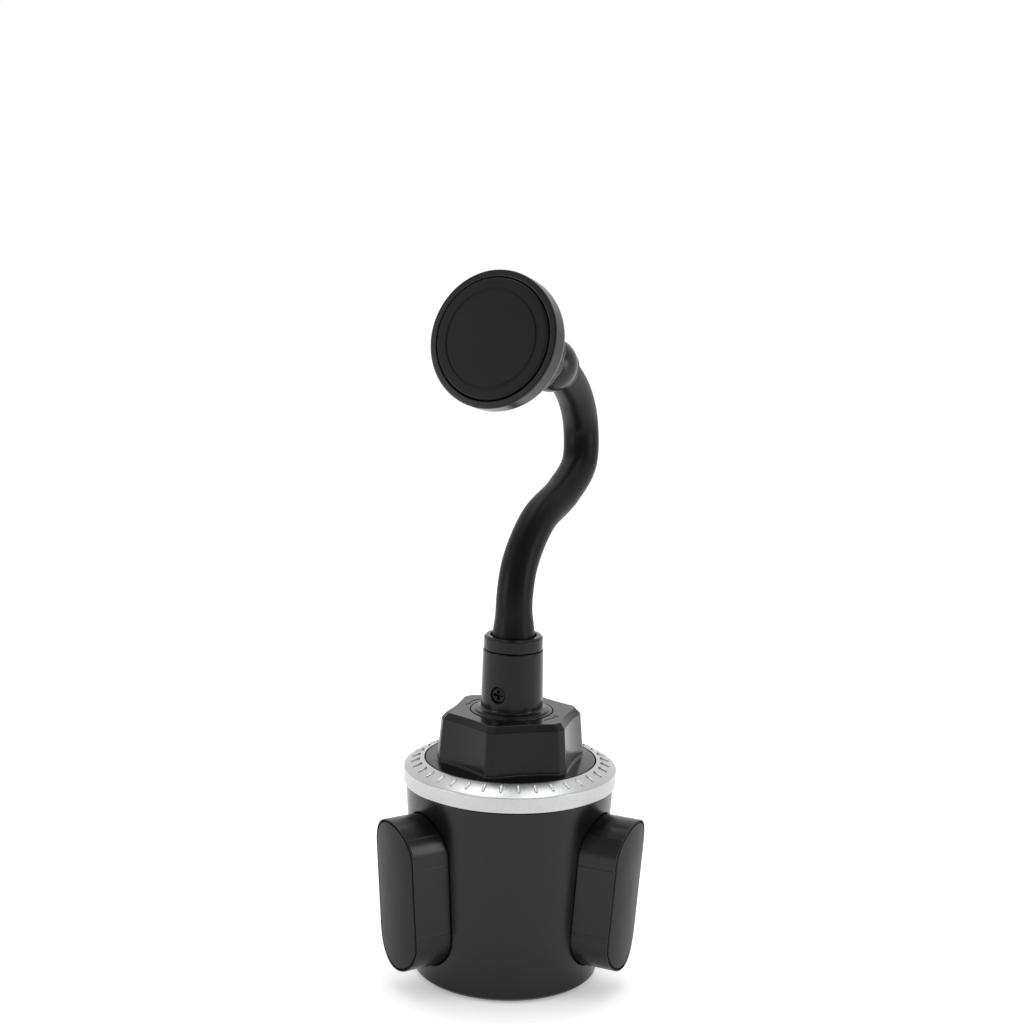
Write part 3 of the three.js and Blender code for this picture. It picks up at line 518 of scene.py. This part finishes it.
def ringBody():
    inner = ring["inner"]
    top = [(r, ringHeight(r)) for r in np.linspace(ring["outer"] - ring["shoulderWidth"], inner, 14)]
    return turned([
        (31.3, ring["under"], 0.1), (ring["outer"], ring["under"], 0.3),
        (ring["outer"], ring["shoulder"] - 0.3, 0.25), (*top[0], 0.25)] + top[1:-1] + [(*top[-1], 0.15),
        (inner, 66.9, 0.1), (31.3, 66.9, 0.1)], sides=288, closed=True)


piece("dial_ring_skin", merged([ringBody()] + ringTicks()), pearlChrome, "base", ["dial_ring"])
print("graduated ring made")


# ---------- knob ----------
knob = {
    "bore": 5.6, "hub": 11.6, "hubFoot": 63.9,
    "skirt": 27.5, "skirtUnder": 67.8, "skirtTop": 71.9, "skirtSlope": 4.0,
    "footCorner": 24.2, "topCorner": 22.9, "cornerFlat": 1.4, "turn": 14.0,
    "top": 88.0, "chamfer": 1.9, "seatR": 13.5, "seat": 83.8,
    "hollow": 0.6, "footFillet": 0.7, "softness": 180.0,
    "arrowR": 15.6, "arrowAngles": (-32.0, 148.0), "arrowSpread": 32.0, "arrowWidth": 0.5, "arrowProud": 0.13,
}


def skirtHeight(r):
    return knob["skirtTop"] + (knob["skirt"] - r) * math.tan(math.radians(knob["skirtSlope"]))


def hexRadius(corner, angle):
    # Distance to a hexagon with a small flat on each corner: a smooth minimum over its twelve sides, which
    # rounds every edge a little.
    lean = math.asin(knob["cornerFlat"] / corner)
    shares = []
    for k in range(12):
        off = angle - math.radians(knob["turn"] + 30 * k)
        across = np.maximum(np.cos(off), 0)
        if k % 2:  # a gripping side, a little hollow
            hollow = 1 - (np.tan(off) / math.tan(math.pi / 6 - lean)) ** 2
            shares.append(across / (corner * math.cos(math.pi / 6 - lean) - knob["hollow"] * np.clip(hollow, 0, 1)))
        else:
            shares.append(across / (corner * math.cos(lean)))
    most = np.max(shares, axis=0)
    return 1 / (most * np.sum((shares / most) ** knob["softness"], axis=0) ** (1 / knob["softness"]))


def hexKnob(sides=960):
    angle = np.arange(sides) * turn / sides
    foot = hexRadius(knob["footCorner"], angle)
    shoulder = hexRadius(knob["topCorner"], angle)
    top = hexRadius(knob["topCorner"] - knob["chamfer"], angle)
    return turned([
        (knob["bore"], knob["hubFoot"]), (knob["hub"], knob["hubFoot"]), (knob["hub"], knob["skirtUnder"]),
        (knob["skirt"], knob["skirtUnder"], 0.2), (knob["skirt"], knob["skirtTop"], 0.25),
        (foot, skirtHeight(foot), knob["footFillet"]),
        (shoulder, knob["top"] - knob["chamfer"], 0.45), (top, knob["top"], 0.45),
        (knob["seatR"], knob["top"], 0.2), (knob["seatR"], knob["seat"]), (knob["bore"], knob["seat"])],
        sides=sides, closed=True)


def curvedArrow(heading):
    # A low bar that follows an arc and widens into a pointed head; its section is a flat-topped ridge.
    share = np.linspace(0, 1, 40)[:, None]
    head = share > 0.72
    half = np.where(head, 2.3 * knob["arrowWidth"] * (1 - share) / 0.28, knob["arrowWidth"] / 2)
    side = np.array([-1.0, -0.8, 0.8, 1.0])
    lift = np.array([-0.2, knob["arrowProud"], knob["arrowProud"], -0.2])
    r = knob["arrowR"] + half * side
    angle = np.radians(heading + knob["arrowSpread"] * (share - 0.5)) + 0 * side
    z = knob["top"] + lift + 0 * share
    points = np.stack([r * np.cos(angle), r * np.sin(angle), z], -1)
    faces = np.concatenate([gridFaces(40, 4), [[0, 1, 2, 3]]])
    return points.reshape(-1, 3), faces


piece("hex_knob_skin", merged([hexKnob()] + [curvedArrow(a) for a in knob["arrowAngles"]]), glossierAbs, "knob",
      ["hex_knob"], sharp=28.0)
print("knob made")


# ---------- sleeve, set screw and cap ring ----------
sleeve = {
    "flangeR": 13.2, "flangeUnder": 84.1, "flangeTop": 88.2, "foot": 10.05, "topR": 9.7, "top": 108.2,
    "bore": 6.9, "boreFloor": 92.2, "screwHeight": 94.8, "screwAngle": -118.0, "screwHole": 2.6,
    "capR": 9.5, "capInner": 7.5, "capUnder": 108.5, "capTop": 112.9, "capChamfer": 0.7,
}
screw = {"radius": 2.3, "inner": 6.9, "outer": 9.2, "slotHalf": 0.34, "slotReach": 1.5, "slotDepth": 0.9}


def neckSleeve():
    top = sleeve["flangeTop"]
    return turned([
        (0, 90.5), (2.4, 90.5), (2.4, sleeve["flangeUnder"]), (sleeve["flangeR"], sleeve["flangeUnder"], 0.2),
        (sleeve["flangeR"], top - 0.1, 0.3), (12.35, top, 0.25), (12.05, top + 0.55, 0.28),
        (11.2, top + 0.62, 0.4), (sleeve["foot"], top + 0.85, 1.25), (sleeve["foot"] - 0.05, top + 4),
        (sleeve["topR"], sleeve["top"], 0.3), (sleeve["bore"], sleeve["top"], 0.2),
        (sleeve["bore"], sleeve["boreFloor"]), (0, sleeve["boreFloor"])], sides=192, steps=7)


def alongRadius(shell, heading, height):
    # lays a shape turned about Z along a radius: its Z becomes the distance from the axis
    points, faces = shell
    laid = np.stack([points[:, 2], points[:, 0], points[:, 1] + height], -1)
    return aboutZ(laid, heading), faces


def softStep(value, edge, soft):
    # 1 below the edge and 0 above it, with a ramp between
    return 1 - np.clip((value - edge + soft) / (2 * soft), 0, 1)


def crossHeadScrew():
    # A short rod whose end has a rounded cross slot: the depth follows the smaller of the distances to
    # the two slots, faded out at the slots' ends and at the sides.
    radii = np.concatenate([np.linspace(0, screw["radius"] - 0.25, 34), [screw["radius"] - 0.08, screw["radius"]]])
    angle = np.arange(144) * turn / 144
    x, y = radii[:, None] * np.cos(angle), radii[:, None] * np.sin(angle)
    narrow, far = np.minimum(abs(x), abs(y)), np.maximum(abs(x), abs(y))
    depth = screw["slotDepth"] * softStep(narrow, screw["slotHalf"], 0.09) * softStep(far, screw["slotReach"], 0.18)
    end = screw["outer"] - depth - np.where(radii > screw["radius"] - 0.05, 0.2, 0)[:, None]
    face = np.stack([x, y, end], -1)
    back = np.stack([x[-1:], y[-1:], np.full((1, 144), screw["inner"])], -1)
    pole = np.stack([0 * x[:1], 0 * y[:1], np.full((1, 144), screw["inner"])], -1)
    return np.concatenate([face, back, pole]).reshape(-1, 3), gridFaces(len(radii) + 2, 144)


def capRing():
    c = sleeve["capChamfer"]
    return turned([
        (sleeve["capInner"], sleeve["capUnder"]), (sleeve["capR"], sleeve["capUnder"], 0.2),
        (sleeve["capR"], sleeve["capTop"] - c, 0.2), (sleeve["capR"] - c, sleeve["capTop"], 0.2),
        (sleeve["capInner"], sleeve["capTop"], 0.2)], sides=160, closed=True)


tube = piece("neck_sleeve_skin", neckSleeve(), glossierAbs, "base", ["neck_sleeve"], sharp=40.0)
hole = turned([(0, sleeve["bore"] - 1), (sleeve["screwHole"], sleeve["bore"] - 1), (sleeve["screwHole"], 9.55, 0.3),
               (sleeve["screwHole"] + 0.4, 10.2), (sleeve["screwHole"] + 0.4, 14), (0, 14)], sides=72)
carve(tube, alongRadius(hole, sleeve["screwAngle"], sleeve["screwHeight"]), sharp=40.0)
piece("set_screw_skin", alongRadius(crossHeadScrew(), sleeve["screwAngle"], sleeve["screwHeight"]), blackOxide,
      "base", ["set_screw"])
piece("neck_cap_ring_skin", capRing(), glossierAbs, "base", ["neck_cap_ring"])
print("sleeve made")


# ---------- gooseneck ----------
neck = {
    "radius": 5.9, "bore": 3.5, "sides": 48, "step": 0.6, "bend": 11.0,
    "rootR": 7.1, "capR": 6.9, "flareEnd": 14.0,
    # middle line in mm, from the cap ring to the knuckle; the last point is laid on the head's axis
    "route": [(0, 0, 108.5), (0, 0, 116), (0, 0.2, 125), (1.6, 4, 136), (7, 13.5, 148), (15, 27, 155),
              (20.6, 38, 163.5), (20.8, 41, 175), (18.3, 33, 186.2), (13.5, 20.5, 195.2)],
}
head = {"ballAt": 20.0, "knuckleBack": 7.2, "gap": 0.3, "neckGap": 1.1, "routeStop": 2.0}
headAxis = np.array(joints["head_spin"]["axis"], float)
headAxis /= np.linalg.norm(headAxis)
ballMiddle = np.array(joints["head_spin"]["pos_m"]) / mm
knuckleMiddle = ballMiddle - head["ballAt"] * headAxis


def smoothLine(corners, steps=220):
    # Centripetal Catmull-Rom through the corners, with the distance run along it at each point.
    c = np.array(corners, float)
    c = np.concatenate([[2 * c[0] - c[1]], c, [2 * c[-1] - c[-2]]])
    gap = np.linalg.norm(np.diff(c, axis=0), axis=1) ** 0.5
    before, here, after = gap[:-2, None], gap[1:-1, None], gap[2:, None]
    p0, p1, p2, p3 = c[:-3], c[1:-2], c[2:-1], c[3:]
    leave = ((p1 - p0) / before - (p2 - p0) / (before + here) + (p2 - p1) / here) * here
    reach = ((p2 - p1) / here - (p3 - p1) / (here + after) + (p3 - p2) / after) * here
    t = np.linspace(0, 1, steps, endpoint=False)[:, None, None]
    curve = (p1 + leave * t + (3 * (p2 - p1) - 2 * leave - reach) * t ** 2
             + (2 * (p1 - p2) + leave + reach) * t ** 3)
    curve = np.concatenate([curve.transpose(1, 0, 2).reshape(-1, 3), c[-2:-1]])
    run = np.concatenate([[0], np.cumsum(np.linalg.norm(np.diff(curve, axis=0), axis=1))])
    return curve, run


def atRun(curve, run, wanted):
    return np.stack([np.interp(wanted, run, curve[:, k]) for k in range(3)], -1)


neckCurve, neckRun = smoothLine(neck["route"] + [tuple(knuckleMiddle - head["routeStop"] * headAxis)])
neckEnd = neckRun[-1] - (head["knuckleBack"] + head["neckGap"] - head["routeStop"])
bends = []
for k in range(1, 5):
    pivot = np.array(joints[f"neck_bend_{k}"]["pos_m"]) / mm
    bends.append(neckRun[np.argmin(np.linalg.norm(neckCurve - pivot, axis=1))])


def neckPiece(start, end):
    # A tube along the middle line: rings stand square to it, turned so that they never twist, with the
    # root's flare, a bore, and flat ends.
    count = max(8, int(round((end - start) / neck["step"])))
    every = np.linspace(start, end, count + 1)
    middle = atRun(neckCurve, neckRun, every)
    along = atRun(neckCurve, neckRun, every + 0.4) - atRun(neckCurve, neckRun, every - 0.4)
    along /= np.linalg.norm(along, axis=1, keepdims=True)
    side = np.cross(along, neckSide)
    side /= np.linalg.norm(side, axis=1, keepdims=True)
    other = np.cross(side, along)
    outer = np.interp(every, [0, 4.4, neck["flareEnd"] - 3, neck["flareEnd"]],
                      [neck["rootR"], neck["capR"], neck["radius"] + 0.12, neck["radius"]])
    angle = np.arange(neck["sides"]) * turn / neck["sides"]
    spoke = np.cos(angle)[None, :, None] * side[:, None] + np.sin(angle)[None, :, None] * other[:, None]
    wall = middle[:, None] + outer[:, None, None] * spoke
    bore = middle[:, None] + neck["bore"] * spoke
    return np.concatenate([wall, bore[::-1]]).reshape(-1, 3), gridFaces(2 * len(every), neck["sides"], rowsJoin=True)


neckSide = np.array([0.9, -0.42, 0.12])  # about square to the plane that the neck bends in
cuts = [0.0] + [(a + b) / 2 for a, b in zip(bends, bends[1:])] + [neckEnd]
for k in range(4):
    stretch = piece(f"neck_rubber_{k + 1}", neckPiece(cuts[k], cuts[k + 1]), neckRubber, None,
                    [f"neck_skin_{k + 1}"] + (["neck_skin_5"] if k == 3 else []))
    pivot = atRun(neckCurve, neckRun, np.array([bends[k] - neck["bend"] / 2, bends[k] + neck["bend"] / 2])) * mm
    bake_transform(stretch)
print("gooseneck made")


# ---------- head ----------
ball = {"radius": 7.5, "stud": 3.3, "knuckleR": 8.8}
nut = {"outer": 12.8, "thread": 11.2, "back": -6.6, "front": 5.6, "ribs": 12, "groove": 0.6, "grooveWidth": 0.95,
       "mouth": 126.0, "cup": 9.5}
dish = {"outer": 21.4, "boss": 10.8, "back": 9.4, "rim": 20.8, "pocketR": 19.2, "pocket": 12.2,
        "faceR": 18.8, "faceUnder": 19.4, "face": 21.4, "faceRing": 15.2}


def onHead(shell, middle):
    # Z of a shape turned about Z is laid along the head's axis, from a point on it
    points, faces = shell
    lay = np.array(Vector((0, 0, 1)).rotation_difference(Vector(headAxis)).to_matrix())
    return points @ lay.T + middle, faces


def knuckle():
    back = -head["knuckleBack"]
    stem = ball["stud"]
    start = math.degrees(math.asin(stem / ball["knuckleR"]))
    dome = arcCorners(ball["knuckleR"], 126, start + 6, 22)
    seat = arcCorners(ball["radius"] + head["gap"], 180 - math.degrees(math.asin(stem / 7.8)), 180, 6, head["ballAt"])
    return turned([(0, back), (6.85, back, 0.2), (7.12, back + 0.5, 0.15)] + dome
                  + [(stem, ball["knuckleR"] * 0.93 + 0.5, 1.2)] + seat, sides=128)


def lockNut(sides=432):
    angle = np.arange(sides) * turn / sides
    off = (angle + np.pi / nut["ribs"]) % (turn / nut["ribs"]) - np.pi / nut["ribs"]
    outer = nut["outer"] - nut["groove"] * np.exp(-(off * nut["outer"] / nut["grooveWidth"]) ** 2)
    shoulder = arcCorners(nut["cup"], nut["mouth"], 98, 10)
    return turned([
        (nut["thread"], nut["front"]), (nut["outer"] - 0.9, nut["front"], 0.25), (outer, nut["front"] - 0.7, 0.3),
        (outer, nut["back"] + 2.4, 0.8), (nut["outer"] - 1.5, nut["back"], 0.5), (8.4, nut["back"], 0.25)]
        + shoulder + [(nut["thread"], shoulder[-1][1])], sides=sides, closed=True)


def headShell():
    cup = arcCorners(nut["cup"], 46, 90, 12)
    deep = dish["pocket"] - 2.6
    return turned([(0, deep), (cup[0][0], deep)] + cup + [
        (dish["boss"], 0, 0.3), (dish["boss"], dish["back"] - 0.4, 1.6), (15.5, dish["back"] + 0.5, 6.0),
        (19.8, dish["back"] + 2.4, 3.5), (dish["outer"], dish["back"] + 5.4, 3.0),
        (dish["outer"], dish["rim"], 0.5), (dish["pocketR"], dish["rim"], 0.25),
        (dish["pocketR"], dish["pocket"] + 2, 0.3), (dish["pocketR"] - 2, dish["pocket"], 0.3),
        (0, dish["pocket"])], sides=224)


def facePad():
    r = dish["faceRing"]
    return turned([
        (0, dish["faceUnder"]), (dish["faceR"], dish["faceUnder"], 0.2), (dish["faceR"], dish["face"], 0.6),
        (r + 0.5, dish["face"], 0.15), (r + 0.3, dish["face"] - 0.3, 0.12), (r - 0.3, dish["face"] - 0.3, 0.12),
        (r - 0.5, dish["face"], 0.15), (0, dish["face"])], sides=192)


piece("knuckle_skin", onHead(knuckle(), knuckleMiddle), satinAbs, "neck_5", ["knuckle"])
sphere = turned(arcCorners(ball["radius"], 0, 180, 49), sides=96)
piece("swivel_ball_skin", onHead(sphere, ballMiddle), blackOxide, "ball", ["swivel_ball"])
piece("lock_nut_skin", onHead(lockNut(), ballMiddle), satinAbs, "nut", ["lock_nut"])
piece("head_shell_skin", onHead(headShell(), ballMiddle), satinAbs, "head", ["head_shell"])
piece("face_pad_skin", onHead(facePad(), ballMiddle), gripRubber, "head", ["face_pad"])
print("head made")


# ---------- floor and light ----------
studio = {
    "floor": "#f7f7f6", "floorSize": 12.0,
    "floorGlow": 0.3,
    "surround": 1.12,
    "around": ((-1.0, 0.3), (-0.55, 0.35), (-0.1, 0.74), (0.4, 0.82), (1.0, 1.0)),  # (front to back, share)
    "cards": [  # place (m), size (m), watts; each looks at the object's middle
        ("left_card", (-0.85, -0.35, 0.3), (0.3, 0.42), 1.8),
        ("right_card", (0.85, -0.35, 0.3), (0.3, 0.42), 1.8),
        ("top_card", (0.0, 0.2, 1.1), (0.8, 0.7), 4.2),
    ],
}


def makeFloor():
    # pale matt paper, with a trace of tooth
    paper = finish("whitePaperSweep", {
        "dark": studio["floor"], "light": "#ffffff", "cloud": 300.0, "grain": 1.5, "wave": 40.0,
        "grainDepth": 0.01, "waveDepth": 0.02, "rough": (0.85, 0.95), "specular": 0.1,
        "glow": studio["floorGlow"]})
    paper.node_tree.nodes["Principled BSDF"].inputs["Emission Color"].default_value = linear("#ffffff")
    half = studio["floorSize"] / 2
    corners = np.array([(-half, -half, 0), (half, -half, 0), (half, half, 0), (-half, half, 0)]) / mm
    piece("floor", (corners, np.array([[0, 1, 2, 3]])), paper, None)


def lightWorld():
    # White all round for the camera; what the pieces reflect is bright behind and above, dimmer in front.
    world = bpy.data.worlds.new("studioSurround")
    bpy.context.scene.world = world
    world.use_nodes = True
    tree = world.node_tree
    tree.nodes.clear()
    way = addNode(tree, "TexCoord").outputs["Generated"]
    parts = addNode(tree, "SeparateXYZ", {"Vector": way}).outputs
    share = addNode(tree, "MapRange", {"Value": parts["Y"], "From Min": -1.0, "From Max": 1.0})
    ramp = addNode(tree, "ValToRGB", {"Fac": share.outputs["Result"]})
    ramp.color_ramp.interpolation = "EASE"
    stops = ramp.color_ramp.elements
    while len(stops) < len(studio["around"]):
        stops.new(0.5)
    for stop, (way, bright) in zip(stops, studio["around"]):
        stop.position = (way + 1) / 2
        stop.color = (bright, bright, bright, 1)
    seen = addNode(tree, "LightPath").outputs["Is Camera Ray"]
    shown = addNode(tree, "Background", {"Color": linear("#ffffff")})
    lit = addNode(tree, "Background", {"Color": ramp.outputs["Color"], "Strength": studio["surround"]})
    mix = addNode(tree, "MixShader", {"Fac": seen})
    tree.links.new(lit.outputs["Background"], mix.inputs[1])
    tree.links.new(shown.outputs["Background"], mix.inputs[2])
    out = addNode(tree, "OutputWorld")
    tree.links.new(mix.outputs["Shader"], out.inputs["Surface"])


def hangCards():
    middle = (cadBox[0] + cadBox[1]) / 2
    for name, place, size, watts in studio["cards"]:
        data = bpy.data.lights.new(name, "AREA")
        data.shape = "RECTANGLE"
        data.size, data.size_y = size
        data.energy = watts
        card = bpy.data.objects.new(name, data)
        bpy.context.scene.collection.objects.link(card)
        card.location = place
        card.rotation_euler = (middle - Vector(place)).to_track_quat("-Z", "Y").to_euler()


makeFloor()
lightWorld()
hangCards()
bpy.context.scene.view_settings.view_transform = "Standard"
print("floor and light made")

bpy.context.view_layer.update()
